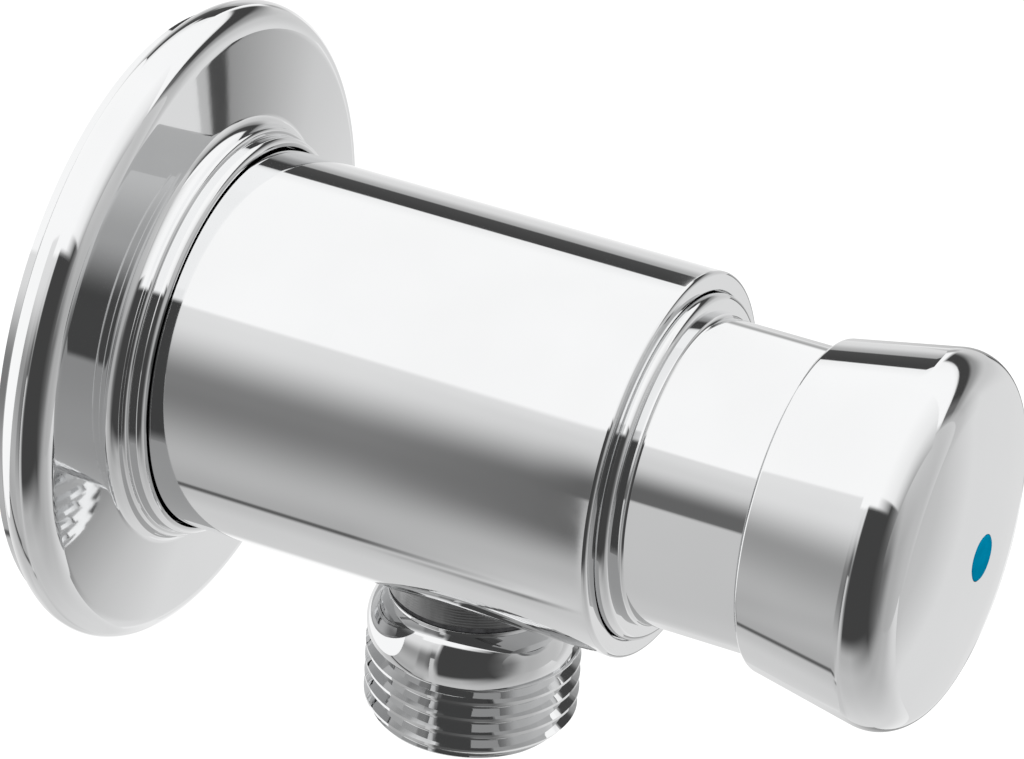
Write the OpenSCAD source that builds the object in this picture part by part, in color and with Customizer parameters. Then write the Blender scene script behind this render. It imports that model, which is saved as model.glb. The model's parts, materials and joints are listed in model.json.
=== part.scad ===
// Push-button urinal flush valve that closes by itself after a timed flush.
// The rear tail screws into the wall, the rosette covers the hole, the button is at the front
// and the flush pipe hangs from the threaded outlet below.
// Distances along the barrel are measured from the finished wall, towards the user.

/* [Barrel] */
// Outer diameter of the barrel
barrel_d = 37.5; // [35:0.5:44]
// Distance from the wall to the barrel's front face
barrel_front = 55.4; // [53:0.1:64]
// Distance from the wall to the barrel's rear face
barrel_rear = 1; // [0.5:0.1:1.5]
// Rounding of the barrel's front edge
barrel_edge = 0.5; // [0.3:0.1:1.2]
// Rounding of the barrel's rear edge
barrel_rear_edge = 0.6; // [0.3:0.1:1]
// Diameter of the bore that takes the cartridge
cartridge_bore_d = 29; // [28:0.1:30]

/* [Pipe threads] */
// Major diameter of the half-inch pipe thread
pipe_thread_d = 20.955; // [20.9:0.001:21]
// Pitch of the pipe thread
pipe_pitch = 1.814; // [1.7:0.001:1.9]
// Depth of the pipe thread
pipe_depth = 1.162; // [0.9:0.001:1.2]

/* [Inlet] */
// How far the threaded tail reaches into the wall
inlet_reach = 9.5; // [8:0.5:20]
// Chamfer at the tail's end
tail_chamfer = 0.9; // [0.6:0.1:1.1]
// Diameter of the water way in the tail
inlet_bore_d = 14; // [12:0.5:14.4]
// Diameter of the chamber behind the seat
inlet_chamber_d = 22; // [20:0.5:23]
// Number of slots in the strainer
strainer_slots = 10; // [6:1:11]
// Width of one strainer slot
strainer_slot_w = 0.8; // [0.5:0.1:0.9]
// Thickness of the strainer
strainer_t = 0.8; // [0.6:0.1:1.2]

/* [Outlet] */
// Distance from the barrel's front face back to the outlet's axis
outlet_back = 19.6; // [18.8:0.1:20]
// How far the outlet reaches below the barrel
outlet_l = 14.4; // [13.6:0.1:20]
// Diameter of the water way in the outlet
outlet_bore_d = 12; // [10:0.1:12.6]
// Length of the threaded stretch of the outlet
outlet_thread_l = 8.2; // [6:0.1:10]
// Diameter of the boss under the barrel
outlet_boss_d = 17.3; // [16.8:0.1:18]
// How far the boss stands out under the barrel
outlet_boss_out = 0.3; // [0.2:0.1:1]
// Width of the boss's face round the port
outlet_boss_w = 1.3; // [1:0.1:1.5]
// Length of the nipple's neck above its shoulder
outlet_neck_l = 1.3; // [1:0.1:2]
// Radius of the nipple's rounded shoulder
outlet_shoulder_r = 5; // [4.8:0.1:12]
// Thickness of the sealing ring between boss and outlet nipple
outlet_ring_t = 0.6; // [0.4:0.1:1]

/* [Wall rosette] */
// Outer diameter of the rosette
rosette_d = 63.6; // [56:0.5:80]
// Radius of the rolled rim
rosette_rim_r = 2.7; // [2:0.05:2.8]
// Height of the rolled rim above the wall
rosette_rim_h = 5.9; // [5.7:0.1:6.5]
// Wall thickness of the rosette
rosette_wall = 1.1; // [0.8:0.1:1.4]
// Height of the flange where it meets the collar
rosette_flange_h = 7; // [6.5:0.1:9]
// Height of the rosette's collar above the wall
rosette_h = 9.7; // [9.5:0.1:12]
// Radial gap between the rosette's collar and the barrel
rosette_gap = 0.25; // [0.15:0.05:0.4]
// Width of the collar's lower step
rosette_step_w = 1.4; // [1.2:0.1:1.8]
// Height of the collar's lower step above the flange
rosette_step_h = 1.2; // [0.8:0.1:1.8]
// Thickness of the collar's upper edge
rosette_lip_w = 0.8; // [0.5:0.1:1]
// Thickness of the hub that holds the O-ring
rosette_hub_w = 3.2; // [2.9:0.1:4]
// Distance from the wall to the middle of the rosette's O-ring
rosette_ring_at = 3.6; // [3:0.1:4.2]
// Depth of the O-ring's groove in the rosette, from the barrel out
rosette_ring_w = 1.8; // [1.6:0.1:2]

/* [Head nut] */
// Outer diameter of the smooth neck
neck_d = 29.7; // [29.4:0.1:31]
// How far the neck reaches past the barrel's front face
neck_l = 20.7; // [20.2:0.1:21]
// Outer diameter of the nut's flange
nut_flange_d = 33.6; // [33.4:0.1:33.8]
// How far the flange stands out of the barrel
nut_flange_out = 1.1; // [0.8:0.1:2]
// Rounding of the flange's edge
nut_flange_edge = 0.8; // [0.4:0.1:1]
// Height of the small step between flange and neck
nut_step = 0.35; // [0.2:0.05:0.5]
// Depth of the flange's recess in the barrel
nut_recess = 1.5; // [1:0.1:2]
// Length of the nut's thread in the barrel
nut_thread_l = 5.8; // [5:0.1:6.4]
// Major diameter of the nut's thread
nut_thread_d = 32; // [31.4:0.1:32.6]
// Bore of the neck
neck_bore_d = 26; // [25.6:0.1:26.8]
// Distance from the barrel's front face to the web that guides the plunger
web_place = 4.7; // [4.4:0.1:5.5]
// Thickness of that web
web_t = 2.5; // [2:0.1:3]
// Bore of the nut behind the web
nut_bore_d = 25; // [24:0.1:25.6]

/* [Button] */
// Travel of the button when it is pressed
stroke = 6; // [4:0.5:6]
// Length of bare neck between the barrel and the button
neck_bare = 13.4; // [12:0.1:14.5]
// Length of the button from its open end to the middle of its face
button_l = 17.7; // [17.5:0.1:20]
// Wall thickness of the button at its open end
button_wall = 0.95; // [0.7:0.05:1.4]
// Largest diameter of the button
button_d = 36.4; // [35:0.1:38]
// Rounding between the button's side and its face
button_edge = 4.3; // [3:0.1:5]
// Height of the face's middle above the centre of that rounding
button_crown = 6.1; // [5.5:0.1:7]
// Radial gap between button and neck
button_gap = 0.2; // [0.15:0.05:0.3]
// Diameter of the blue index plug
index_d = 4.5; // [3.5:0.1:6]
// Depth of the index plug in the button's face
index_depth = 1.8; // [1.4:0.1:2]
// Diameter of the plunger that guides the button
plunger_d = 12; // [11:0.1:13]
// Free length round the plunger for its spring when the button is pressed
button_spring_room = 10; // [9:0.1:10.2]
// Depth of the core's seat in the button
core_recess = 1.5; // [1:0.1:1.7]
// How far the plunger reaches past the web
plunger_past_web = 2.8; // [2.4:0.1:3]
// Thickness of the button's retaining ring
button_clip_t = 1; // [0.8:0.1:1.2]

/* [Cartridge] */
// Length of the cartridge sleeve
sleeve_l = 22.5; // [22:0.1:24]
// Bore of the cartridge sleeve
sleeve_bore_d = 20.6; // [20:0.1:20.8]
// Outer diameter of the sleeve between its two lands
sleeve_d = 23.8; // [23.4:0.1:24.2]
// Diameter of the sleeve's rear land
sleeve_land_d = 25; // [24.8:0.1:25.6]
// Number of windows round the sleeve
sleeve_windows = 6; // [4:1:6]
// Width of one window
window_w = 7; // [5:0.5:8]
// Length of a window along the sleeve
window_l = 2.8; // [2:0.1:3]
// Length of the sleeve's rear land
land_l = 4; // [3.6:0.1:4.4]
// Length of the sleeve's front land
front_land_l = 3.5; // [3:0.1:3.6]
// Depth of an O-ring's groove
ring_groove = 1.3; // [1.1:0.1:1.4]
// Width of an O-ring's groove
ring_groove_w = 1.7; // [1.6:0.1:1.9]
// Length of the guide bush inside the sleeve
bush_spigot_l = 4; // [3.8:0.1:4.4]
// Thickness of the guide bush's flange
bush_flange_t = 1.5; // [1.2:0.1:1.8]
// Diameter of the guide bush's hub
bush_hub_d = 10; // [9.4:0.1:11]
// How far the hub stands in front of the flange
bush_hub_l = 1.5; // [1:0.1:1.8]
// Width of the metering groove in the dashpot's wall
meter_w = 0.4; // [0.3:0.05:0.6]
// Depth of the metering groove
meter_depth = 0.3; // [0.2:0.05:0.4]

/* [Seat] */
// Thickness of the seat ring
seat_ring_t = 3; // [2.6:0.1:3.2]
// Outer diameter of the seat ring
seat_ring_d = 17; // [16.4:0.1:17.6]
// How far the seat's lip stands out
seat_lip_h = 0.6; // [0.4:0.1:0.8]
// Bore of the web that holds the seat ring
seat_web_d = 14.4; // [14.2:0.1:14.8]
// Thickness of that web
seat_web_t = 0.8; // [0.6:0.1:1]

/* [Valve stem] */
// Diameter of the stem
stem_d = 5; // [4.6:0.1:5.2]
// Diameter of the thread at the stem's rear end
stem_thread_d = 4; // [3.6:0.1:4.2]
// Diameter of the water way through the seat
seat_bore_d = 11; // [10.4:0.1:11.4]
// Diameter of the rubber seat washer
seat_washer_d = 15.2; // [14.6:0.1:16]
// Thickness of the rubber seat washer
seat_washer_t = 2.5; // [2:0.1:3]
// Length of the dashpot piston
piston_l = 4; // [3.8:0.1:4.2]
// Diameter of the piston's hub
piston_hub_d = 16; // [15.6:0.1:16.4]
// Thickness of the piston's flange behind the lip seal
piston_flange_t = 1.2; // [1:0.1:1.4]
// Depth of the closing spring's seat in the piston
spring_pocket = 2; // [1.6:0.1:2.4]
// Outer diameter of the piston's retaining ring
piston_clip_d = 8.4; // [8:0.1:8.8]
// Thickness of the piston's retaining ring
piston_clip_t = 0.8; // [0.6:0.1:1]
// Thickness of the plate between shoulder and rubber
washer_plate_t = 0.8; // [0.6:0.1:1]
// Thickness of the clapper cup's floor
cup_floor_t = 1.5; // [1.2:0.1:1.8]
// Wall thickness of the clapper cup
cup_wall = 0.9; // [0.7:0.1:1.1]
// Height of the clapper nut
clapper_nut_t = 2.4; // [2:0.1:2.8]
// Width across flats of the clapper nut
clapper_nut_w = 7; // [6.6:0.1:7.4]

/* [Springs] */
// Wire diameter of the closing spring
closing_wire_d = 1; // [0.8:0.05:1.1]
// Number of coils of the closing spring
closing_coils = 5; // [4:0.5:5.5]
// Diameter of the closing spring to the middle of its wire
closing_coil_d = 12.7; // [12.5:0.1:12.8]
// Wire diameter of the button spring
button_wire_d = 1.2; // [0.8:0.1:1.3]
// Number of coils of the button spring
button_coils = 6; // [4:0.5:7]

/* [Hidden] */
$fn = 96;

// Cuts run past the surface by this much
past = 0.5;
// Radial clearance of pieces that slide in each other
slide_fit = 0.05;
// Radial clearance of pieces that are pushed together and stay
push_fit = 0.03;
// Clearance of a thread drawn plain in its nut
thread_fit = 0.1;
// Free play along the axis between pieces that only touch under load
free_play = 0.2;

// Room that a moving piece keeps to what stands at the end of its way
end_room = 0.5;
// Rounding of edges that show
fine_edge = 0.6;
// Rings of the wire in each turn of a spring
coil_rings = 8;

// Radii
barrel_r = barrel_d / 2;
neck_r = neck_d / 2;
pipe_thread_r = pipe_thread_d / 2;
inlet_bore_r = inlet_bore_d / 2;
chamber_r = inlet_chamber_d / 2;
cartridge_bore_r = cartridge_bore_d / 2;
land_r = sleeve_land_d / 2;
sleeve_bore_r = sleeve_bore_d / 2;
sleeve_r = sleeve_d / 2;
seat_ring_r = seat_ring_d / 2;
stem_r = stem_d / 2;
stem_thread_r = stem_thread_d / 2;
stem_shoulder_r = stem_r + 0.7;
stem_seal_r = stem_r + ring_groove + 0.25;
plunger_r = plunger_d / 2;
core_r = neck_bore_d / 2 - 0.45;
button_clip_groove_r = plunger_r - 0.7;
piston_clip_groove_r = stem_r - 0.5;
rosette_ring_r = barrel_r + rosette_ring_w;
outlet_boss_r = outlet_boss_d / 2;
outlet_port_r = outlet_boss_r - outlet_boss_w;

// Stations along the barrel, from the wall towards the user
nut_seat = barrel_front - nut_recess;
nut_rear = nut_seat - nut_thread_l;
sleeve_front = nut_rear - bush_flange_t;
sleeve_rear = sleeve_front - sleeve_l;
bush_rear = sleeve_front - bush_spigot_l;
stem_seal_at = sleeve_front - 1.05;
piston_front = bush_rear - end_room;
piston_rear = piston_front - piston_l;
gallery_rear = sleeve_rear + land_l + free_play;
seat_front = sleeve_rear + seat_ring_t;
seat_lip = sleeve_rear - seat_lip_h;
window_rear = seat_front + seat_web_t + 0.8;
shoulder_rear = seat_lip + washer_plate_t;
washer_rear = seat_lip - seat_washer_t;
cup_rear = washer_rear - cup_floor_t;
stem_rear = cup_rear - clapper_nut_t - 0.5;
strainer_front = stem_rear - stroke - 1;
chamber_rear = strainer_front - strainer_t;
web_rear = barrel_front + web_place;
web_front = web_rear + web_t;
neck_front = barrel_front + neck_l;
button_mouth = barrel_front + neck_bare;
button_face = button_mouth + button_l;
button_ceiling = neck_front + stroke + 0.3;
core_rear = web_front + stroke + button_spring_room;
core_front = button_ceiling + core_recess;
index_floor = button_face - index_depth;
plunger_rear = web_rear - plunger_past_web;
button_clip_rear = web_rear - free_play - button_clip_t;
stem_front = plunger_rear - free_play;
outlet_place = barrel_front - outlet_back;

// Stations below the barrel's axis
outlet_boss_drop = barrel_r + outlet_boss_out;
outlet_shoulder_drop = outlet_boss_drop + outlet_ring_t;
outlet_drop = barrel_r + outlet_l;
outlet_thread_drop = outlet_drop - outlet_thread_l;

// A turned shape: its profile holds the radius across and the distance from the wall upwards
module turned() {
    rotate([90, 0, 0]) rotate_extrude() children();
}

// A rectangle of a profile between two radii and two stations
module band(r_in, r_out, from, to) {
    translate([r_in, from]) square([r_out - r_in, to - from]);
}

// Rounds the outer corner of a profile away; out and along say which way the corner points
module corner_cut(r, station, radius, out = 1, along = 1) {
    translate([r, station]) difference() {
        translate([out > 0 ? -radius : -past, along > 0 ? -radius : -past]) square(radius + past);
        translate([-out * radius, -along * radius]) circle(radius);
    }
}

// Chamfers the outer corner of a profile by its depth across and its length along
module corner_slope(r, station, size, along = 1) {
    translate([r, station]) polygon([
        [-size[0], 0], [-size[0], along * past], [past, along * past],
        [past, -along * size[1]], [0, -along * size[1]]
    ]);
}

// Fills the inner corner of a profile with a hollow round
module corner_fill(r, station, radius, out = 1, along = 1) {
    translate([r, station]) difference() {
        translate([out > 0 ? 0 : -radius, along > 0 ? 0 : -radius]) square(radius);
        translate([out * radius, along * radius]) circle(radius);
    }
}

// The V grooves of a pipe thread round a profile's edge, from one station on
module thread_grooves(r, from, grooves, pitch, depth) {
    flat = pitch / 6;
    for (i = [0 : grooves - 1]) translate([r, from + i * pitch]) polygon([
        [past, flat / 2 - past * pitch / 3 / depth], [-depth, pitch / 2 - flat / 2],
        [-depth, pitch / 2 + flat / 2], [past, pitch - flat / 2 + past * pitch / 3 / depth]
    ]);
}

// The groove of an O-ring in the outside of a profile
module ring_seat(r, middle) {
    band(r - ring_groove, r + past, middle - ring_groove_w / 2, middle + ring_groove_w / 2);
}

// A rubber ring of round section between two radii
module o_ring(r_in, r_out, middle) {
    color("#26272a") turned()
        translate([(r_in + r_out) / 2, middle]) circle((r_out - r_in) / 2 - push_fit);
}

// An open retaining ring for a groove on a shaft
module circlip(groove_r, r_out, from, thickness) {
    opening = 0.9 * groove_r;
    color("#8f9296") difference() {
        turned() band(groove_r + push_fit, r_out, from, from + thickness);
        translate([-opening / 2, -from - thickness - past, -r_out - past])
            cube([opening, thickness + 2 * past, r_out + past]);
    }
}

// How far a coil spring has climbed after some turns: its end turns lie closer together
function climb(turn, turns, length, end_pitch) =
    let (middle_pitch = (length - 2 * end_pitch) / (turns - 2))
    turn < 1 ? turn * end_pitch :
    turn > turns - 1 ? length - (turns - turn) * end_pitch :
    end_pitch + (turn - 1) * middle_pitch;

// The middle line of the wire at a number of turns
function coil_point(turn, coil_r, turns, from, length, end_pitch) =
    [coil_r * cos(360 * turn), -from - climb(turn, turns, length, end_pitch), coil_r * sin(360 * turn)];

// A coil spring of round wire between two stations, as one unbroken tube
module coil_spring(coil_r, wire_d, turns, from, to, end_pitch) {
    sides = 6;
    rings = ceil(turns * coil_rings);
    wire_r = wire_d / 2;
    length = to - from - wire_d;
    function middle(i) = coil_point(i * turns / rings, coil_r, turns, from + wire_r, length, end_pitch);
    wire = [for (i = [0 : rings]) let (turn = i * turns / rings, p = middle(i))
        for (k = [0 : sides - 1]) let (a = 360 * k / sides)
            p + wire_r * [cos(a) * cos(360 * turn), sin(a), cos(a) * sin(360 * turn)]];
    walls = [for (i = [0 : rings - 1], k = [0 : sides - 1])
        let (n = (k + 1) % sides, a = i * sides, b = a + sides)
        each [[a + k, b + k, b + n], [a + k, b + n, a + n]]];
    ends = [for (k = [1 : sides - 2])
        each [[0, k, k + 1], [rings * sides, rings * sides + k + 1, rings * sides + k]]];
    least = min([for (i = [0 : rings], j = [0 : rings]) if (j - i >= 6) norm(middle(i) - middle(j))]);
    echo(str("least gap of the wire to itself: ", least - wire_d, " mm"));
    color("#a8abae") polyhedron(points = wire, faces = concat(walls, ends));
}

// Main casting: threaded tail, barrel and outlet boss
module valve_body() {
    tail_end = -inlet_reach;
    tail_grooves = floor((inlet_reach - tail_chamfer) / pipe_pitch) - 1;
    color("#d9dcde") difference() {
        union() {
            turned() difference() {
                union() {
                    band(0, pipe_thread_r, tail_end, barrel_rear + past);
                    band(0, barrel_r, barrel_rear, barrel_front);
                }
                thread_grooves(pipe_thread_r, tail_end + tail_chamfer, tail_grooves, pipe_pitch, pipe_depth);
                corner_slope(pipe_thread_r, tail_end, [tail_chamfer, tail_chamfer], -1);
                corner_cut(barrel_r, barrel_front, barrel_edge);
                corner_cut(barrel_r, barrel_rear, barrel_rear_edge, 1, -1);
            }
            translate([0, -outlet_place, -outlet_boss_drop])
                cylinder(r = outlet_boss_r, h = outlet_boss_drop - cartridge_bore_r + 1);
        }
        turned() union() {
            band(0, inlet_bore_r, tail_end - past, chamber_rear + past);
            band(0, chamber_r, chamber_rear, sleeve_rear + past);
            band(0, land_r + push_fit, sleeve_rear, gallery_rear + past);
            band(0, cartridge_bore_r, gallery_rear, nut_rear);
            band(0, nut_thread_d / 2, nut_rear - 0.5, nut_seat + past);
            band(0, nut_flange_d / 2 + 0.15, nut_seat, barrel_front + past);
        }
        translate([0, -outlet_place, -outlet_boss_drop - past])
            cylinder(r = outlet_port_r, h = outlet_boss_drop);
    }
}

// Centre of the circle of a given radius through two points, on the inner side
function arc_centre(p, q, radius) =
    let (half = (q - p) / 2, reach = sqrt(radius * radius - half * half))
    p + half + reach * [-half[1], half[0]] / norm(half);

// Threaded nipple with its rounded shoulder, screwed into the boss
module outlet_nipple() {
    neck_end = outlet_shoulder_drop + outlet_neck_l;
    shoulder_start = [outlet_boss_r, neck_end];
    shoulder_end = [pipe_thread_r - 0.05, outlet_thread_drop];
    insert_r = outlet_port_r - push_fit;
    end_chamfer = [0.85, 1.2];
    grooves = floor(outlet_thread_l / pipe_pitch);
    color("#d9dcde") translate([0, -outlet_place, 0]) mirror([0, 0, 1]) rotate_extrude() difference() {
        union() {
            band(0, insert_r, cartridge_bore_r + 0.3, outlet_shoulder_drop + past);
            band(0, outlet_boss_r - 0.05, outlet_shoulder_drop, neck_end);
            intersection() {
                translate(arc_centre(shoulder_start, shoulder_end, outlet_shoulder_r))
                    circle(outlet_shoulder_r);
                band(0, pipe_thread_r, neck_end, outlet_thread_drop);
            }
            band(0, pipe_thread_r, outlet_thread_drop, outlet_drop);
        }
        thread_grooves(pipe_thread_r, outlet_thread_drop, grooves, pipe_pitch, pipe_depth);
        corner_slope(pipe_thread_r, outlet_drop, end_chamfer);
        band(0, outlet_bore_d / 2, 0, outlet_drop + past);
    }
}

// Flat ring that seals the nipple on the boss
module outlet_sealing_ring() {
    color("#7b3b2c") translate([0, -outlet_place, -outlet_shoulder_drop]) difference() {
        cylinder(r = outlet_boss_r - 0.15, h = outlet_ring_t);
        translate([0, 0, -past]) cylinder(r = outlet_port_r, h = outlet_ring_t + 2 * past);
    }
}

// Slotted disc that keeps grit out of the cartridge
module inlet_strainer() {
    slot_in = 2.4;
    slot_out = inlet_bore_r - 0.6;
    color("#b9bcbf") difference() {
        turned() band(0, chamber_r - push_fit, chamber_rear + push_fit, strainer_front);
        for (i = [0 : strainer_slots - 1]) rotate([0, i * 360 / strainer_slots, 0])
            translate([-strainer_slot_w / 2, -strainer_front - past, slot_in])
                cube([strainer_slot_w, strainer_t + 2 * past, slot_out - slot_in]);
    }
}

// Sleeve of the cartridge: rear land, windows, dashpot bore and front land
module cartridge_sleeve() {
    land_front_r = cartridge_bore_r - push_fit;
    meter_rear = piston_rear - stroke - 0.4;
    meter_front = bush_rear - 0.1;
    color("#e6e3da") difference() {
        turned() difference() {
            union() {
                band(0, land_r, sleeve_rear, sleeve_rear + land_l);
                band(0, sleeve_r, sleeve_rear, sleeve_front);
                band(0, land_front_r, sleeve_front - front_land_l, sleeve_front);
            }
            band(0, seat_ring_r + push_fit, sleeve_rear - past, seat_front);
            band(0, seat_web_d / 2, sleeve_rear, sleeve_front);
            band(0, sleeve_bore_r, seat_front + seat_web_t, sleeve_front + past);
            ring_seat(land_r, sleeve_rear + land_l / 2);
            ring_seat(land_front_r, sleeve_front - front_land_l / 2);
        }
        for (i = [0 : sleeve_windows - 1]) rotate([0, i * 360 / sleeve_windows, 0])
            translate([-window_w / 2, -window_rear - window_l, sleeve_bore_r - 2])
                cube([window_w, window_l, 6]);
        rotate([0, 180 / sleeve_windows, 0])
            translate([-meter_w / 2, -meter_front, sleeve_bore_r - meter_depth])
                cube([meter_w, meter_front - meter_rear, 2 * meter_depth]);
    }
}

module sleeve_rear_o_ring() {
    o_ring(land_r - ring_groove, land_r + push_fit, sleeve_rear + land_l / 2);
}

module sleeve_front_o_ring() {
    o_ring(cartridge_bore_r - push_fit - ring_groove, cartridge_bore_r, sleeve_front - front_land_l / 2);
}

// Hard ring with the raised lip that the rubber washer closes on
module seat_ring() {
    lip_r = seat_bore_d / 2 + 0.9;
    color("#c9a24a") turned() difference() {
        union() {
            band(0, seat_ring_r, sleeve_rear, seat_front);
            polygon([[0, sleeve_rear + past], [0, seat_lip], [lip_r, seat_lip],
                [lip_r + seat_lip_h, sleeve_rear], [lip_r + seat_lip_h, sleeve_rear + past]]);
        }
        band(0, seat_bore_d / 2, seat_lip - past, seat_front + past);
        corner_cut(seat_ring_r, seat_front, 0.4);
    }
}

// Bush that closes the dashpot, guides the stem and is clamped by the head nut
module guide_bush() {
    spigot_r = sleeve_bore_r - push_fit;
    hub_r = bush_hub_d / 2;
    hub_front = nut_rear + bush_hub_l;
    clip_room = piston_clip_t + 0.6;
    color("#c9a24a") turned() difference() {
        union() {
            band(0, spigot_r, bush_rear, sleeve_front + past);
            band(0, cartridge_bore_r - 0.6, sleeve_front, nut_rear);
            band(0, hub_r, nut_rear - past, hub_front);
        }
        band(0, stem_r + slide_fit, bush_rear - past, hub_front + past);
        band(0, piston_clip_d / 2 + 0.6, bush_rear - past, bush_rear + clip_room);
        band(0, stem_seal_r, stem_seal_at - ring_groove_w / 2, stem_seal_at + ring_groove_w / 2);
        ring_seat(spigot_r, bush_rear + bush_spigot_l / 2);
        corner_cut(hub_r, hub_front, 0.5);
    }
}

module guide_bush_o_ring() {
    o_ring(sleeve_bore_r - push_fit - ring_groove, sleeve_bore_r, bush_rear + bush_spigot_l / 2);
}

module stem_seal() {
    o_ring(stem_r + 0.01, stem_seal_r, stem_seal_at);
}

// Chromed nut with the smooth neck: it holds the cartridge and guides the button
module head_nut() {
    flange_r = nut_flange_d / 2;
    flange_front = barrel_front + nut_flange_out;
    bore_r = neck_bore_d / 2;
    slot = [4, 2];
    color("#d9dcde") difference() {
        turned() difference() {
            union() {
                band(0, nut_thread_d / 2 - thread_fit, nut_rear, nut_seat + past);
                difference() {
                    band(0, flange_r, nut_seat, flange_front);
                    corner_cut(flange_r, flange_front, nut_flange_edge);
                }
                band(0, neck_r + nut_step, nut_seat, flange_front + 0.5);
                corner_fill(neck_r, flange_front + 0.5, nut_step);
                band(0, neck_r, nut_seat, neck_front);
            }
            band(0, nut_bore_d / 2, nut_rear - past, web_rear);
            band(0, plunger_r + slide_fit, nut_rear, web_front + past);
            band(0, bore_r, web_front, neck_front + past);
            corner_cut(neck_r, neck_front, fine_edge);
        }
        for (side = [0, 180]) rotate([0, side, 0])
            translate([-slot[0] / 2, -neck_front - past, bore_r - 1])
                cube([slot[0], slot[1] + past, neck_r - bore_r + 2]);
    }
}

// Rosette that slides on the barrel and covers the hole in the wall
module wall_rosette() {
    rim = [rosette_d / 2 - rosette_rim_r, rosette_rim_h - rosette_rim_r];
    foot_out = rim[0] + 1;
    foot_in = foot_out - rosette_wall;
    collar_in = barrel_r + rosette_gap;
    step_r = collar_in + rosette_step_w;
    step_h = rosette_flange_h + rosette_step_h;
    top_r = collar_in + rosette_lip_w;
    hub_r = collar_in + rosette_hub_w;
    hub_rear = rosette_ring_at - 2.4;
    hub_front = rosette_flange_h - 0.6;
    ring_room = rosette_ring_w / 2 + 0.05;
    color("#d9dcde") turned() difference() {
        union() {
            translate(rim) circle(rosette_rim_r);
            band(rim[0] - 1, foot_out, 0, rim[1]);
            polygon([[hub_r - past, hub_rear], [rim[0], hub_rear], [rim[0], rosette_rim_h],
                [step_r, rosette_flange_h], [hub_r - past, hub_front]]);
            band(collar_in, step_r, hub_rear, step_h);
            band(collar_in, hub_r, hub_rear, hub_front);
            band(collar_in, top_r, rosette_flange_h, rosette_h);
            corner_fill(step_r, rosette_flange_h - 0.08, 0.7);
        }
        union() {
            translate(rim) circle(rosette_rim_r - rosette_wall);
            polygon([[hub_r, -past], [foot_in, -past], [foot_in, rim[1]], rim,
                [rim[0], rosette_rim_h - rosette_wall], [hub_r, rosette_flange_h - 0.3 - rosette_wall]]);
        }
        corner_cut(step_r, step_h, 0.4);
        corner_cut(top_r, rosette_h, 0.7);
        band(collar_in - past, rosette_ring_r, rosette_ring_at - ring_room, rosette_ring_at + ring_room);
    }
}

module rosette_o_ring() {
    o_ring(barrel_r + 0.02, rosette_ring_r, rosette_ring_at);
}

// Point where a straight line from outside touches a circle, on the outer side
function touch_point(p, c, r) =
    let (v = p - c, a = atan2(v[1], v[0]) + acos(r / norm(v)))
    c + r * [cos(a), sin(a)];

// Button shell: flared skirt, large rounding and domed face
module push_button() {
    bore_r = neck_r + button_gap;
    mouth_r = bore_r + button_wall;
    edge = [button_d / 2 - button_edge, button_face - button_crown];
    lip = [mouth_r, button_mouth + fine_edge];
    touch = touch_point(lip, edge, button_edge);
    dome_r = (edge[0] * edge[0] + button_crown * button_crown - button_edge * button_edge)
        / (2 * (button_crown - button_edge));
    dome = [0, button_face - dome_r];
    dome_end = dome + dome_r * (edge - dome) / norm(edge - dome);
    color("#d9dcde") turned() difference() {
        union() {
            difference() {
                polygon([[0, button_mouth], [mouth_r, button_mouth], lip, touch, edge, [0, edge[1]]]);
                corner_cut(mouth_r, button_mouth, fine_edge, 1, -1);
            }
            translate(edge) circle(button_edge);
            intersection() {
                translate(dome) circle(dome_r);
                polygon([[0, edge[1]], edge, dome_end, dome_end + [0, dome_r], [0, button_face + dome_r]]);
            }
        }
        band(0, bore_r, button_mouth - past, button_ceiling);
        band(0, core_r + push_fit, button_ceiling - past, core_front);
        band(0, index_d / 2 + push_fit, index_floor, button_face + past);
    }
}

// Moulded core of the button with the plunger that pushes the stem
module button_core() {
    pocket_in = plunger_r + 5.2;
    color("#3a3c3f") turned() difference() {
        union() {
            band(0, plunger_r, plunger_rear, core_rear + past);
            band(0, core_r, core_rear, core_front);
            corner_fill(plunger_r, core_rear, 1, 1, -1);
        }
        band(button_clip_groove_r, plunger_r + past, button_clip_rear, web_rear - free_play);
        corner_cut(plunger_r, plunger_rear, 0.5, 1, -1);
        band(pocket_in, core_r - 1.4, core_rear + 1.6, core_front + past);
    }
}

// Blue plug in the middle of the button's face
module index_plug() {
    color("#0087aa") turned() difference() {
        band(0, index_d / 2, index_floor, button_face + 0.1);
        corner_cut(index_d / 2, button_face + 0.1, 0.25);
    }
}

module button_circlip() {
    circlip(button_clip_groove_r, plunger_r + 2, button_clip_rear + push_fit, button_clip_t - 2 * push_fit);
}

module button_spring() {
    coil_spring((plunger_d + neck_bore_d) / 4, button_wire_d, button_coils,
        web_front + push_fit, core_rear - push_fit, button_wire_d + 0.5);
}

// Stem with the shoulder that clamps the washer, grooves and threaded rear end
module valve_stem() {
    color("#b4b7ba") turned() difference() {
        union() {
            band(0, stem_thread_r, stem_rear, shoulder_rear + past);
            band(0, stem_shoulder_r, shoulder_rear, shoulder_rear + 3);
            band(0, stem_r, shoulder_rear, stem_front);
        }
        band(piston_clip_groove_r, stem_r + past, piston_front, piston_front + piston_clip_t);
        corner_cut(stem_r, stem_front, 0.8);
        corner_cut(stem_thread_r, stem_rear, 0.4, 1, -1);
    }
}

// Cup that carries the rubber washer on the inlet side of the seat
module clapper_cup() {
    cup_r = seat_washer_d / 2 + cup_wall;
    color("#c9a24a") turned() difference() {
        band(0, cup_r, cup_rear, seat_lip - 0.3);
        band(0, seat_washer_d / 2 + push_fit, washer_rear, seat_lip);
        band(0, stem_thread_r + slide_fit, cup_rear - past, seat_lip);
        corner_cut(cup_r, cup_rear, 0.8, 1, -1);
    }
}

module seat_washer() {
    color("#26272a") turned()
        band(stem_thread_r + slide_fit, seat_washer_d / 2, washer_rear, seat_lip);
}

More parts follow.
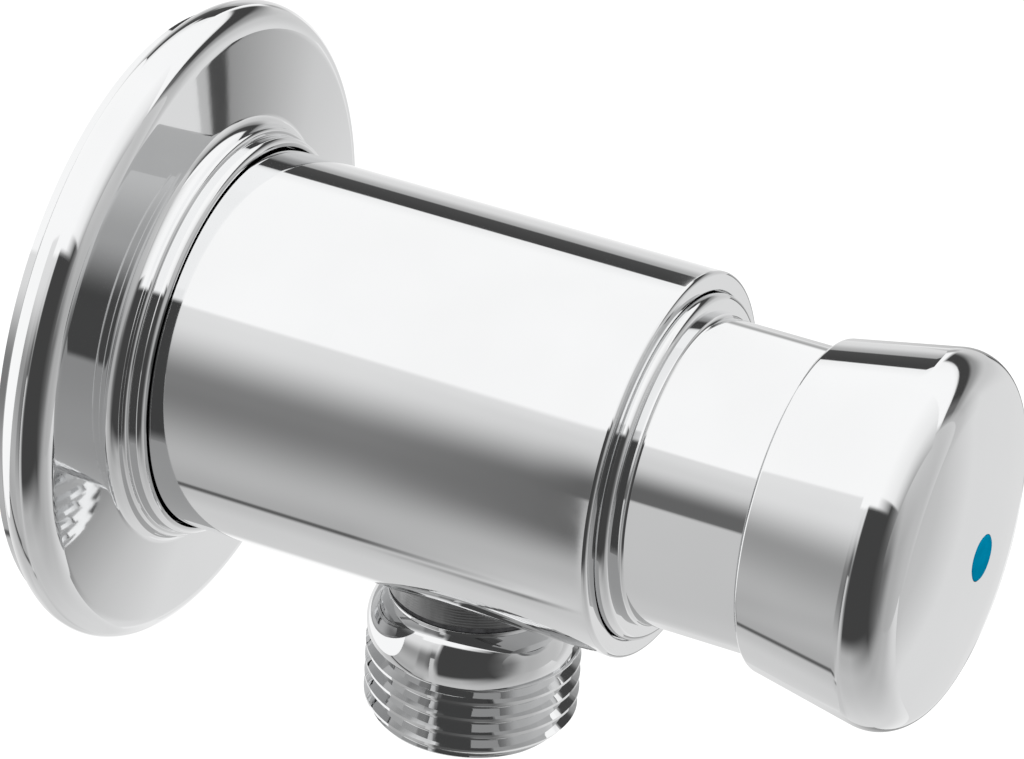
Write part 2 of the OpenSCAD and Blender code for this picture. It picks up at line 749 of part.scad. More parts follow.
// Thin plate between the stem's shoulder and the rubber
module washer_plate() {
    color("#b4b7ba") turned()
        band(stem_thread_r + slide_fit, seat_bore_d / 2 - 0.9, seat_lip, shoulder_rear);
}

// Hexagon nut that holds the cup on the stem
module clapper_nut() {
    color("#b4b7ba") translate([0, -cup_rear, 0]) rotate([-90, 0, 0]) difference() {
        cylinder(d = clapper_nut_w / cos(30), h = clapper_nut_t, $fn = 6);
        translate([0, 0, -past]) cylinder(r = stem_thread_r + slide_fit, h = clapper_nut_t + 2 * past);
    }
}

// Piston that draws water past its lip and meters it out again
module dashpot_piston() {
    hub_r = piston_hub_d / 2;
    coil_r = closing_coil_d / 2;
    // The wire runs straight between its rings, so it comes in from the coil's circle
    pocket_in = coil_r * cos(180 / coil_rings) - closing_wire_d / 2 - 0.15;
    pocket_out = coil_r + closing_wire_d / 2 + 0.25;
    color("#e6e3da") turned() difference() {
        union() {
            band(0, sleeve_bore_r - 0.3, piston_rear, piston_rear + piston_flange_t);
            band(0, hub_r, piston_rear, piston_front);
            band(0, hub_r + 0.5, piston_front - 0.7, piston_front);
        }
        band(0, stem_r + push_fit, piston_rear - past, piston_front + past);
        band(pocket_in, pocket_out, piston_rear - past, piston_rear + spring_pocket);
    }
}

// Cup seal whose lip opens towards the dashpot
module piston_lip_seal() {
    base = piston_rear + piston_flange_t;
    lip_end = piston_front - 0.1;
    in_r = piston_hub_d / 2 + push_fit;
    out_r = sleeve_bore_r - slide_fit;
    color("#26272a") turned() polygon([
        [in_r, base], [out_r - 0.3, base], [out_r - 0.3, base + 0.8], [out_r, lip_end - 0.3],
        [out_r - 0.3, lip_end], [out_r - 0.8, base + 1.2], [in_r, base + 1.2]
    ]);
}

module piston_circlip() {
    circlip(piston_clip_groove_r, piston_clip_d / 2, piston_front, piston_clip_t - push_fit);
}

module closing_spring() {
    coil_spring(closing_coil_d / 2, closing_wire_d, closing_coils,
        seat_front + push_fit, piston_rear + spring_pocket - push_fit, closing_wire_d + 0.5);
}

valve_body();
outlet_nipple();
outlet_sealing_ring();
inlet_strainer();
cartridge_sleeve();
sleeve_rear_o_ring();
sleeve_front_o_ring();
seat_ring();
guide_bush();
guide_bush_o_ring();
stem_seal();
head_nut();
wall_rosette();
rosette_o_ring();
push_button();
button_core();
index_plug();
button_circlip();
button_spring();
valve_stem();
clapper_cup();
seat_washer();
washer_plate();
clapper_nut();
dashpot_piston();
piston_lip_seal();
piston_circlip();
closing_spring();
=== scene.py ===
"""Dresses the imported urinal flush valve: turned chrome pieces with cut threads, materials, studio and camera."""

import json
import math

import bmesh
import bpy
from bpy.props import FloatProperty, FloatVectorProperty, IntProperty, PointerProperty
from bpy.types import Operator, Panel, PropertyGroup
from mathutils import Matrix, Vector


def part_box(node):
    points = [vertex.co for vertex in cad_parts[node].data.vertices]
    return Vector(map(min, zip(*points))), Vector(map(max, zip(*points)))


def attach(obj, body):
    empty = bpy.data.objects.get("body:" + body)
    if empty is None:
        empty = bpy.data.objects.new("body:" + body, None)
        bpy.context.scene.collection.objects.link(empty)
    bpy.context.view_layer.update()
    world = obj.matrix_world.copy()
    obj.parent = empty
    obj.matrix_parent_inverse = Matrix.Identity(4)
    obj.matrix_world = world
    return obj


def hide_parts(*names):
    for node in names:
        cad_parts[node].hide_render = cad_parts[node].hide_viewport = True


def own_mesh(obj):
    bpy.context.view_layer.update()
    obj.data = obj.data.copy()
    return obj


bl_info = {
    "name": "Urinal flush valve",
    "version": (1, 0, 0),
    "blender": (4, 5, 0),
    "location": "3D View > Sidebar > Flush Valve",
    "description": "Builds the chrome pieces of a push-button flush valve over its packed frame",
    "category": "Mesh",
}

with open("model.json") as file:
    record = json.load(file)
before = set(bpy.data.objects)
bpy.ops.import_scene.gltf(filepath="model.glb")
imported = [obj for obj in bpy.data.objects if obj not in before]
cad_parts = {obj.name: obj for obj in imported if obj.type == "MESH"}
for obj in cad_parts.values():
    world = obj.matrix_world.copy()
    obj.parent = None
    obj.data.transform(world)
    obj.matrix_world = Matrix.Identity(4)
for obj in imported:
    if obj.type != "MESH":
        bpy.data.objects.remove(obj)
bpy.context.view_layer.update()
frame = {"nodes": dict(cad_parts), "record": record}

# Angle between faces above which an edge stays sharp
SHARP_EDGE = math.radians(28)
# Largest turn of one facet in a rounded corner
ROUNDING_STEP = math.radians(12)
# How far a cutting tool reaches past the surface that it cuts
OVERCUT = 0.0005
# Slack with which faces are told apart by their place
TOUCH = 0.0001
# Roundings of small edges
HAIR_EDGE, FINE_EDGE, SOFT_EDGE = 0.0001, 0.0002, 0.0004
# Length of barrel that goes with the boss on each side of it
BOSS_MARGIN = 0.0005
# Steps round a small turned piece
SMALL_PIECE_STEPS = 128
# Range of a noise pattern that colour and roughness follow
PATTERN_SPREAD = (0.3, 0.7)
# Darkest tone of the studio cards
DARK = 0.055
# Where a card's tones start to drift, and the Y and Z below which it has other tones for second reflections
DRIFT_START, SECOND_FRONT, SECOND_LOW = 0.05, -0.27, -0.3

BODY_LOW, BODY_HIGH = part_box("valve_body")
NIPPLE_LOW, NIPPLE_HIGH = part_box("outlet_nipple")
RING_LOW, RING_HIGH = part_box("outlet_sealing_ring")
NUT_LOW, NUT_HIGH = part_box("head_nut")
ROSETTE_LOW, ROSETTE_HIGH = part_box("wall_rosette")
_, BUTTON_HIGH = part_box("push_button")
PLUG_LOW, PLUG_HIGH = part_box("index_plug")
BUTTON_SPRING_LOW, BUTTON_SPRING_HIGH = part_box("button_spring")
CLOSING_SPRING_LOW, CLOSING_SPRING_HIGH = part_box("closing_spring")


def metres(name, description, default):
    return FloatProperty(name=name, description=description, default=default, precision=5, unit="LENGTH")


def degrees(name, description, default):
    return FloatProperty(name=name, description=description, default=math.radians(default), subtype="ANGLE")


def colour(name, description, default):
    return FloatVectorProperty(name=name, description=description, default=default, subtype="COLOR", min=0, max=1)


def share(name, description, default):
    return FloatProperty(name=name, description=description, default=default, subtype="FACTOR", min=0, max=1)


class BodySizes(PropertyGroup):
    barrel_radius: metres("Barrel radius", "Outer radius of the barrel", BODY_HIGH.x)
    barrel_front: metres("Barrel front", "Distance from the wall to the barrel's front face", -BODY_LOW.y)
    barrel_rear: metres("Barrel rear", "Distance from the wall to the barrel's rear face", 0.001)
    front_edge: metres("Front edge", "Rounding of the barrel's front edge", 0.0005)
    rear_edge: metres("Rear edge", "Rounding of the barrel's rear edge", 0.0006)
    tail_reach: metres("Tail reach", "How far the threaded tail reaches into the wall", BODY_HIGH.y)
    tail_chamfer: metres("Tail chamfer", "Chamfer at the tail's end", 0.0009)
    inlet_bore: metres("Inlet bore", "Radius of the water way in the tail", 0.007)
    chamber_bore: metres("Chamber bore", "Radius of the chamber behind the cartridge", 0.011)
    chamber_rear: metres("Chamber rear", "Distance from the wall to the chamber", 0.0088)
    cartridge_bore: metres("Cartridge bore", "Radius of the bore that takes the cartridge", 0.0145)
    cartridge_rear: metres("Cartridge rear", "Distance from the wall to the cartridge's seat", 0.0241)
    nut_bore: metres("Nut bore", "Radius of the head nut's thread in the barrel", 0.016)
    nut_bore_rear: metres("Nut bore rear", "Distance from the wall to the nut's thread", 0.0476)
    recess: metres("Recess", "Radius of the recess round the head nut's flange", 0.01695)
    recess_depth: metres("Recess depth", "Depth of that recess", 0.0015)
    boss_radius: metres("Boss radius", "Outer radius of the boss under the barrel", 0.00865)
    boss_drop: metres("Boss drop", "Distance from the barrel's axis to the boss's face", -BODY_LOW.z)
    port: metres("Port", "Radius of the outlet port", 0.00735)


class ThreadSizes(PropertyGroup):
    radius: metres("Major radius", "Major radius of the half-inch pipe thread", NIPPLE_HIGH.x)
    pitch: metres("Pitch", "Pitch of the pipe thread", 0.001814)
    depth: metres("Depth", "Depth of the pipe thread", 0.001162)
    crest: metres("Crest", "Width of the thread's crest", 0.0003)
    rounding: metres("Rounding", "Rounding of the thread's root", 0.0002)


class OutletSizes(PropertyGroup):
    place: metres("Place", "Distance from the wall to the outlet's axis", -(NIPPLE_LOW.y + NIPPLE_HIGH.y) / 2)
    insert_radius: metres("Insert radius", "Radius of the nipple inside the port", 0.00732)
    insert_drop: metres("Insert drop", "Distance from the barrel's axis to the nipple's top", -NIPPLE_HIGH.z)
    neck_radius: metres("Neck radius", "Radius of the nipple's neck", 0.0086)
    neck_length: metres("Neck length", "Length of the neck above the shoulder", 0.0004)
    shoulder_radius: metres("Shoulder radius", "Radius of the rounded shoulder", 0.0042)
    shoulder_length: metres("Shoulder length", "Length of the rounded shoulder", 0.0049)
    shoulder_step: metres("Shoulder step", "How much narrower than the thread the shoulder ends", 0.00025)
    bore: metres("Bore", "Radius of the water way in the nipple", 0.006)
    insert_edge: metres("Insert edge", "Rounding of the nipple's top edge", 0.0003)
    ring_edge: metres("Ring edge", "Rounding of the sealing ring's edges", 0.00015)
    end_drop: metres("End drop", "Distance from the barrel's axis to the nipple's end", -NIPPLE_LOW.z)
    end_chamfer_width: metres("End chamfer width", "Radial size of the chamfer at the end", 0.00085)
    end_chamfer_length: metres("End chamfer length", "Length of the chamfer at the end", 0.0012)


class NutSizes(PropertyGroup):
    thread_radius: metres("Thread radius", "Radius of the nut's thread", 0.0159)
    flange_radius: metres("Flange radius", "Outer radius of the nut's flange", NUT_HIGH.x)
    flange_out: metres("Flange out", "How far the flange stands out of the barrel", 0.0011)
    flange_edge: metres("Flange edge", "Rounding of the flange's edge", 0.0008)
    step: metres("Step", "Height of the small step between flange and neck", 0.00035)
    step_length: metres("Step length", "Length of that step before its hollow rounding", 0.0005)
    neck_radius: metres("Neck radius", "Outer radius of the smooth neck", 0.01485)
    neck_edge: metres("Neck edge", "Rounding at the neck's front end", 0.0006)
    neck_bore: metres("Neck bore", "Bore of the neck", 0.013)
    plunger_bore: metres("Plunger bore", "Bore of the web that guides the plunger", 0.00605)
    web_rear: metres("Web rear", "Distance from the wall to the web", 0.0601)
    web_front: metres("Web front", "Distance from the wall to the web's front", 0.0626)
    rear_bore: metres("Rear bore", "Bore behind the web", 0.0125)
    slot_width: metres("Slot width", "Width of the two key slots in the neck's front end", 0.004)
    slot_depth: metres("Slot depth", "Depth of the two key slots", 0.002)
    slot_reach: metres("Slot reach", "Radial size of the tool that cuts the slots", 0.006)


class RosetteSizes(PropertyGroup):
    rim_radius: metres("Rim radius", "Radius of the rolled rim", 0.0027)
    rim_height: metres("Rim height", "Height of the rolled rim above the wall", 0.0059)
    wall: metres("Wall", "Wall thickness of the rosette", 0.0011)
    flange_height: metres("Flange height", "Height of the collar's foot", 0.007)
    flange_slope: degrees("Flange slope", "Rise of the flange towards the collar", 4.5)
    flange_rounding: metres("Flange rounding", "Hollow rounding between flange and collar", 0.0012)
    foot_width: metres("Foot width", "How far the foot stands outside the rim's middle", 0.001)
    collar_bore: metres("Collar bore", "Bore of the collar", 0.019)
    step_width: metres("Step width", "Width of the collar's lower step", 0.0014)
    step_height: metres("Step height", "Height of the collar's lower step", 0.0012)
    lip_width: metres("Lip width", "Thickness of the collar's upper edge", 0.0008)
    lip_edge: metres("Lip edge", "Rounding of the collar's upper edge", 0.0007)
    hub_width: metres("Hub width", "Thickness of the hub round the barrel", 0.0032)
    hub_edge: metres("Hub edge", "Hollow rounding between hub and flange", 0.0005)
    hub_reach: metres("Hub reach", "How far the hub reaches behind the O-ring's middle", 0.0024)
    ring_place: metres("Ring place", "Distance from the wall to the O-ring", 0.0036)
    ring_radius: metres("Ring radius", "Radius of the O-ring's groove", 0.02055)
    ring_width: metres("Ring width", "Width of the O-ring's groove", 0.0019)


class ButtonSizes(PropertyGroup):
    bore: metres("Bore", "Radius of the button's inside", 0.01505)
    wall: metres("Wall", "Wall thickness at the open end", 0.00095)
    mouth_edge: metres("Mouth edge", "Rounding at the open end", 0.0006)
    ceiling: metres("Ceiling", "Distance from the wall to the button's ceiling", 0.0824)
    seat_radius: metres("Seat radius", "Radius of the core's seat", 0.01258)
    seat_depth: metres("Seat depth", "Depth of the core's seat", 0.0015)
    radius: metres("Radius", "Largest radius of the button", BUTTON_HIGH.x)
    edge: metres("Edge", "Rounding between the button's side and its face", 0.0043)
    crown: metres("Crown", "Height of the face's middle above the centre of that rounding", 0.0061)
    face: metres("Face", "Distance from the wall to the middle of the face", 0.0865)
    plug_gap: metres("Plug gap", "Gap round the blue plug", 0.00003)
    plug_edge: metres("Plug edge", "Rounding of the blue plug's edge", 0.00025)


class SpringSizes(PropertyGroup):
    button_wire: metres("Button spring wire", "Wire diameter of the button spring", 0.0012)
    button_turns: IntProperty(name="Button spring turns", description="Turns of the button spring", default=6)
    closing_wire: metres("Closing spring wire", "Wire diameter of the closing spring", 0.001)
    closing_turns: IntProperty(name="Closing spring turns", description="Turns of the closing spring", default=5)
    stroke: metres("Stroke", "How far both springs are pressed", 0.006)


class Finishes(PropertyGroup):
    chrome: colour("Chrome", "Colour of the polished chrome", (0.93, 0.935, 0.94))
    chrome_roughness: share("Chrome roughness", "Roughness of the polished chrome", 0.035)
    brass: colour("Brass", "Colour of the bare turned brass", (0.72, 0.55, 0.27))
    steel: colour("Steel", "Colour of the stainless steel", (0.62, 0.63, 0.64))
    rubber: colour("Rubber", "Colour of the seals", (0.022, 0.022, 0.024))
    white_plastic: colour("White plastic", "Colour of the cartridge", (0.8, 0.78, 0.72))
    black_plastic: colour("Black plastic", "Colour of the button's core", (0.035, 0.035, 0.038))
    blue_plastic: colour("Blue plastic", "Colour of the index plug", (0.0, 0.28, 0.48))
    fibre: colour("Fibre", "Colour of the outlet's sealing ring", (0.06, 0.06, 0.064))


class StageSettings(PropertyGroup):
    camera_place: FloatVectorProperty(name="Camera place", description="Where the camera stands",
                                      default=(-0.416159, -0.231545, 0.271966), subtype="TRANSLATION")
    camera_azimuth: degrees("Camera azimuth", "Direction to the camera round the upright axis", -65.08667)
    camera_elevation: degrees("Camera elevation", "Height of the camera above the horizon", 30.2752)
    camera_roll: degrees("Camera roll", "Turn of the camera about its own axis", -3.31131)
    camera_lens: FloatProperty(name="Camera lens", description="Focal length in millimetres", default=198.786)
    floor_height: metres("Floor height", "Height of the floor under the valve's axis", -0.3)
    floor_size: metres("Floor size", "Width of the floor", 6.0)
    floor_tone: share("Floor tone", "Brightness of the pale floor", 0.72)
    day_level: share("Day level", "Level of the soft light all round", 0.75)


class Outline:
    """Half the section of a turned piece, drawn in the plane x = 0.

    radius is the distance from the piece's axis, and out is the distance along it, away from the wall."""

    def __init__(self, radius, out):
        self.mesh = bmesh.new()
        self.first = self.last = self.mesh.verts.new((0, -out, radius))
        self.corners = []

    def lines(self, *points):
        """Goes straight from point to point, each a radius, an out and, where it is rounded, its rounding."""
        for radius, out, *rounding in points:
            corner = self.mesh.verts.new((0, -out, radius))
            self.mesh.edges.new((self.last, corner))
            self.last = corner
            if rounding:
                self.corners.append((corner, rounding[0]))

    def arc(self, radius, out, turn, steps):
        """Goes round the point (radius, out). A positive turn leads from outwards to the front."""
        made = bmesh.ops.spin(self.mesh, geom=[self.last], cent=(0, -out, radius), axis=(1, 0, 0),
                              angle=turn, steps=steps, use_merge=False)
        self.last = next(v for v in made["geom_last"] if isinstance(v, bmesh.types.BMVert))

    def round_corners(self):
        for corner, rounding in self.corners:
            before, after = (e.other_vert(corner).co - corner.co for e in corner.link_edges)
            bend = math.pi - before.angle(after)
            bmesh.ops.bevel(self.mesh, geom=[corner], affect="VERTICES", offset=rounding * math.tan(bend / 2),
                            segments=max(3, round(bend / ROUNDING_STEP)), profile=0.5, material=-1)

    def turned(self, steps=192):
        """Closes the outline unless both its ends lie on the axis, and turns it into a closed shell."""
        if self.first.co.z > 0:
            self.mesh.edges.new((self.last, self.first))
        self.round_corners()
        bmesh.ops.spin(self.mesh, geom=self.mesh.verts[:] + self.mesh.edges[:], cent=(0, 0, 0), axis=(0, 1, 0),
                       angle=2 * math.pi, steps=steps, use_merge=True)
        return cleaned(self.mesh)


def cleaned(mesh):
    bmesh.ops.remove_doubles(mesh, verts=mesh.verts[:], dist=1e-7)
    bmesh.ops.recalc_face_normals(mesh, faces=mesh.faces[:])
    return mesh


def hung(mesh, place):
    """Swings a piece that was turned about the barrel's axis down to the outlet's axis."""
    bmesh.ops.rotate(mesh, verts=mesh.verts[:], cent=(0, 0, 0), matrix=Matrix.Rotation(math.pi / 2, 3, "X"))
    bmesh.ops.translate(mesh, verts=mesh.verts[:], vec=(0, -place, 0))
    return mesh


def placed(mesh, name):
    """Makes the shape an object of the scene."""
    data = bpy.data.meshes.new(name)
    mesh.to_mesh(data)
    mesh.free()
    item = bpy.data.objects.new(name, data)
    bpy.context.scene.collection.objects.link(item)
    return item


def combined(mesh, tool, operation):
    """Joins the tool on to the shape (UNION) or cuts it out of it (DIFFERENCE)."""
    blanks = [placed(shape, "blank") for shape in (mesh, tool)]
    cut = blanks[0].modifiers.new("Cut", "BOOLEAN")
    cut.operation = operation
    cut.object = blanks[1]
    cut.solver = "EXACT"
    result = bmesh.new()
    result.from_object(blanks[0], bpy.context.evaluated_depsgraph_get())
    for blank in blanks:
        data = blank.data
        bpy.data.objects.remove(blank)
        bpy.data.meshes.remove(data)
    return result


def thread_cutter(sizes, start, end):
    """The coiled V tool that cuts a pipe thread, from out = start to out = end."""
    turn_steps = 96
    half_width = (sizes.pitch - sizes.crest) / 2
    reach = half_width + OVERCUT * half_width / sizes.depth
    outer = sizes.radius + OVERCUT
    tool = Outline(outer, start - reach)
    tool.lines((sizes.radius - sizes.depth, start, sizes.rounding), (outer, start + reach))
    tool.mesh.edges.new((tool.last, tool.first))
    tool.round_corners()
    face = bmesh.ops.contextual_create(tool.mesh, geom=tool.mesh.edges[:])["faces"][0]
    steps = math.ceil((end - start) / sizes.pitch * turn_steps)
    bmesh.ops.spin(tool.mesh, geom=[face, *face.edges, *face.verts], cent=(0, 0, 0), axis=(0, 1, 0),
                   dvec=(0, -sizes.pitch / turn_steps, 0), angle=2 * math.pi * steps / turn_steps, steps=steps,
                   use_merge=False)
    return cleaned(tool.mesh)


def coil(radius, wire, turns, rear, front):
    """A compression spring with a closed turn at each end, wound from out = rear to out = front."""
    turn_steps = 48
    mesh = bmesh.new()
    made = bmesh.ops.create_circle(mesh, segments=16, radius=wire / 2, cap_ends=True)
    bmesh.ops.rotate(mesh, verts=made["verts"], matrix=Matrix.Rotation(math.pi / 2, 3, "Y"))
    bmesh.ops.translate(mesh, verts=made["verts"], vec=(0, -rear - wire / 2, radius))
    closed_pitch = wire * 1.15
    open_pitch = (front - rear - wire - 2 * closed_pitch) / (turns - 2)
    geometry = mesh.verts[:] + mesh.edges[:] + mesh.faces[:]
    for pitch, count in ((closed_pitch, 1), (open_pitch, turns - 2), (closed_pitch, 1)):
        spun = bmesh.ops.spin(mesh, geom=geometry, cent=(0, 0, 0), axis=(0, 1, 0), dvec=(0, -pitch / turn_steps, 0),
                              angle=2 * math.pi * count, steps=turn_steps * count, use_merge=False)
        geometry = spun["geom_last"]
    return cleaned(mesh)


def finished(mesh, name, body, node, slot, *materials):
    """Makes the shape a piece of the valve, smooth between its edges, that stands for a CAD node.

    Its first material is the finish of its slot, and the others follow it."""
    for face in mesh.faces:
        face.smooth = True
    for edge in mesh.edges:
        edge.smooth = edge.calc_face_angle(math.pi) < SHARP_EDGE
    piece = placed(mesh, name)
    for material in (finish_of(slot), *materials):
        piece.data.materials.append(material)
    even = piece.modifiers.new("Even shading", "WEIGHTED_NORMAL")
    even.keep_sharp = True
    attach(piece, body)
    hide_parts(node)
    return piece


def leave_bare(mesh, radius, place=None):
    """Gives the second material to a water way: the faces within radius of the barrel's or outlet's axis."""
    for face in mesh.faces:
        centre = face.calc_center_median()
        if math.hypot(centre.x, centre.z if place is None else centre.y + place) < radius:
            face.material_index = 1


class Wiring:
    """Adds nodes to a node tree."""

    def __init__(self, tree):
        self.nodes, self.links = tree.nodes, tree.links

    def add(self, kind, inputs=(), **settings):
        """Makes a node. inputs pairs each of its sockets with the socket that feeds it or with a value."""
        node = self.nodes.new("ShaderNode" + kind)
        for setting, value in settings.items():
            setattr(node, setting, value)
        for place, value in dict(inputs).items():
            if isinstance(value, bpy.types.NodeSocket):
                self.links.new(value, node.inputs[place])
            else:
                node.inputs[place].default_value = value
        return node

    def math(self, operation, *values):
        return self.add("Math", enumerate(values), operation=operation).outputs["Value"]

    def spread(self, value, start, end, low=0.0, high=1.0):
        """Runs from low to high while the value runs from start to end."""
        return self.add("MapRange", {"Value": value, "From Min": start, "From Max": end, "To Min": low,
                                     "To Max": high}).outputs["Result"]

    def mix(self, share, first, second):
        return self.add("Mix", {"Factor": share, "A": first, "B": second}, data_type="RGBA").outputs["Result"]

    def ramp(self, share, stops, interpolation="LINEAR"):
        """A colour ramp whose stops each have a place from 0 to 1 and a colour."""
        node = self.add("ValToRGB", {"Fac": share})
        band = node.color_ramp
        band.interpolation = interpolation
        while len(band.elements) < len(stops):
            band.elements.new(0.5)
        for element, (position, shade) in zip(band.elements, stops):
            element.position = position
            element.color = (*shade, 1)
        return node.outputs["Color"]


class Surface(Wiring):
    """A material with a Principled shader whose pattern reads Object coordinates."""

    def __init__(self, name, base, metallic):
        self.material = bpy.data.materials.new(name)
        self.material.use_nodes = True
        super().__init__(self.material.node_tree)
        self.base = tuple(base)
        self.shader = self.nodes["Principled BSDF"]
        self.shader.inputs["Base Color"].default_value = (*self.base, 1)
        self.shader.inputs["Metallic"].default_value = metallic
        self.place = self.add("TexCoord").outputs["Object"]

    def noise(self, scale, detail, stretch=(1, 1, 1)):
        """Noise with scale features in a metre, stretched along an axis where that is below 1."""
        mapped = self.add("Mapping", {"Vector": self.place, "Scale": stretch}).outputs["Vector"]
        return self.add("TexNoise", {"Vector": mapped, "Scale": scale, "Detail": detail}).outputs["Fac"]

    def turning_marks(self, spacing, direction="Y"):
        """Fine rings left by the lathe, spacing metres apart."""
        return self.add("TexWave", {"Vector": self.place, "Scale": 0.314 / spacing, "Distortion": 1.5, "Detail": 3},
                        bands_direction=direction).outputs["Fac"]

    def tint(self, pattern, dark, light):
        """Lets the colour wander between two shares of its brightness."""
        tones = [[min(1.0, part * share) for part in self.base] for share in (dark, light)]
        self.links.new(self.ramp(pattern, list(zip(PATTERN_SPREAD, tones))), self.shader.inputs["Base Color"])

    def roughness(self, pattern, low, high):
        self.links.new(self.spread(pattern, *PATTERN_SPREAD, low, high), self.shader.inputs["Roughness"])

    def relief(self, pattern, height, strength):
        """Raises the surface by the pattern, height metres at most, over any relief set before."""
        bump = self.add("Bump", {"Height": pattern, "Distance": height, "Strength": strength})
        below = self.shader.inputs["Normal"]
        if below.is_linked:
            self.links.new(below.links[0].from_socket, bump.inputs["Normal"])
        self.links.new(bump.outputs["Normal"], below)


def finish(name, base, metallic, tint, roughness, *reliefs):
    """Makes a finish. Each of its patterns is a noise's arguments and the two levels that the noise sets."""
    surface = Surface(name, base, metallic)
    surface.tint(surface.noise(*tint[:-2]), *tint[-2:])
    surface.roughness(surface.noise(*roughness[:-2]), *roughness[-2:])
    for *pattern, height, strength in reliefs:
        surface.relief(surface.noise(*pattern), height, strength)
    return surface


def chrome(finishes):
    """Polished chrome: mirror bright, with faint clouds of wiping and finer polishing lines."""
    level = finishes.chrome_roughness
    return finish("polished_chrome", finishes.chrome, 1.0, (90, 2, 0.975, 1), (160, 5, level * 0.6, level * 1.5),
                  (45, 1, 0.00001, 0.5), (900, 4, (1, 0.12, 1), 0.0000012, 0.5))


def satin(finishes):
    """The casting's chrome where it is turned but not polished, with its colour darkened to 0.38 of the chrome as
    painted shade under the barrel.
    """
    # The 0.38 darkening is painted shade under the barrel; the roughness and turning marks are the duller turned
    # finish
    surface = finish("satin_chrome_painted_shade", [part * 0.38 for part in finishes.chrome], 1.0,
                     (400, 4, (1, 1, 0.2), 0.7, 1.2), (500, 4, 0.28, 0.42))
    surface.relief(surface.turning_marks(0.0003, "Z"), 0.00001, 0.6)
    return surface


def brass(finishes):
    """Bare brass with the lathe's rings and a brown bloom."""
    surface = finish("turned_brass", finishes.brass, 1.0, (140, 5, 0.72, 1.08), (300, 4, 0.24, 0.42))
    surface.relief(surface.turning_marks(0.00025), 0.000012, 0.6)
    return surface


def steel(finishes):
    """Drawn and pressed stainless steel with fine lines."""
    return finish("stainless_steel", finishes.steel, 1.0, (250, 4, 0.85, 1), (600, 4, (1, 0.2, 1), 0.18, 0.36),
                  (2200, 3, (1, 0.1, 1), 0.000006, 0.6))


def rubber(finishes):
    """Matt moulded rubber with a dusty grain."""
    return finish("seal_rubber", finishes.rubber, 0.0, (500, 5, 1, 1.7), (800, 4, 0.5, 0.72),
                  (3500, 4, 0.00002, 0.6))


def white_plastic(finishes):
    """Moulded cartridge plastic with a soft flow pattern."""
    return finish("cartridge_plastic", finishes.white_plastic, 0.0, (120, 3, 0.94, 1), (400, 4, 0.3, 0.44),
                  (1500, 3, 0.00001, 0.5))


def black_plastic(finishes):
    """Glass-filled plastic of the button's core, with its fine speckle."""
    return finish("core_plastic", finishes.black_plastic, 0.0, (2600, 5, 1, 1.9), (700, 4, 0.34, 0.52),
                  (2800, 4, 0.000015, 0.6))


def blue_plastic(finishes):
    """Glossy through-coloured plastic of the index plug."""
    surface = finish("index_plastic", finishes.blue_plastic, 0.0, (700, 4, 0.9, 1.06), (900, 4, 0.22, 0.34),
                     (1800, 3, 0.000006, 0.5))
    surface.shader.inputs["Specular IOR Level"].default_value = 0.0
    return surface


def fibre(finishes):
    """Pressed fibre of the outlet's sealing ring."""
    return finish("pressed_fibre", finishes.fibre, 0.0, (1800, 6, (1, 1, 0.3), 0.6, 1.5), (1200, 4, 0.62, 0.85),
                  (2600, 5, (1, 1, 0.3), 0.00004, 0.7))


# The finish of each of the record's material slots, and of the boss, whose darkened satin is painted shade under
# the barrel
FINISHES = {"chrome": chrome, "brass": brass, "steel": steel, "rubber": rubber, "white_plastic": white_plastic,
            "black_plastic": black_plastic, "blue_plastic": blue_plastic, "fibre": fibre, "satin": satin}
made_finishes = {}


def finish_of(slot):
    if slot not in made_finishes:
        made_finishes[slot] = FINISHES[slot](bpy.context.scene.valve_finishes).material
    return made_finishes[slot]


